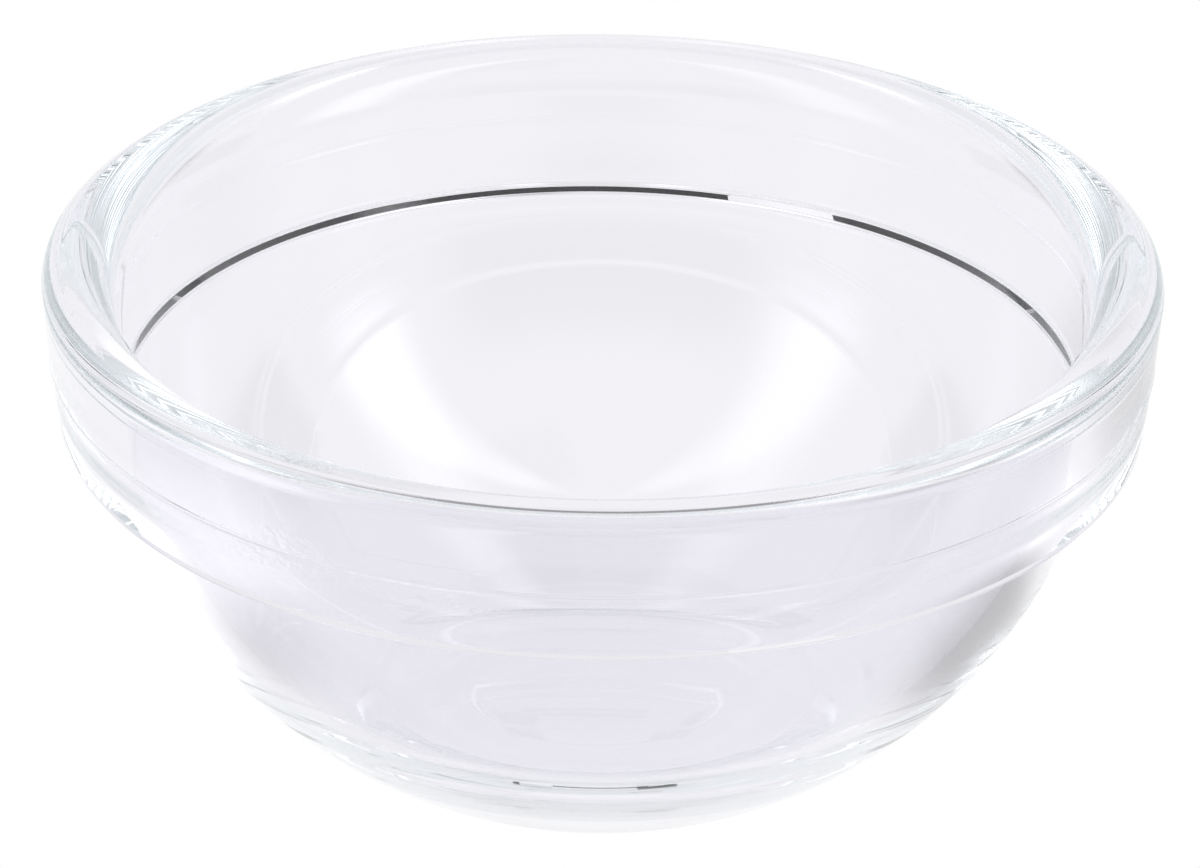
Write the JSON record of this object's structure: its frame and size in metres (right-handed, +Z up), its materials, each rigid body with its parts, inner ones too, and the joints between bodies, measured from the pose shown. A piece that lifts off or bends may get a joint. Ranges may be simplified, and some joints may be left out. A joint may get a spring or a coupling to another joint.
{
  "type": "prep bowl",
  "caption": "Small round prep bowl of pressed clear glass, with a thick rounded lip, a stepped band below it, a ball-shaped body and a flat foot, for holding measured ingredients.",
  "frame": {"origin": "centre of the foot's underside, on the table", "axes": "+Z up along the bowl's axis, out of the mouth; the bowl is round, so X and Y are any level pair"},
  "size_m": [0.09, 0.09, 0.042],
  "materials": {
    "clear_glass": "clear, fire polished"
  },
  "bodies": {
    "root": {"glass_bowl": "clear_glass"}
  },
  "joints": []
}
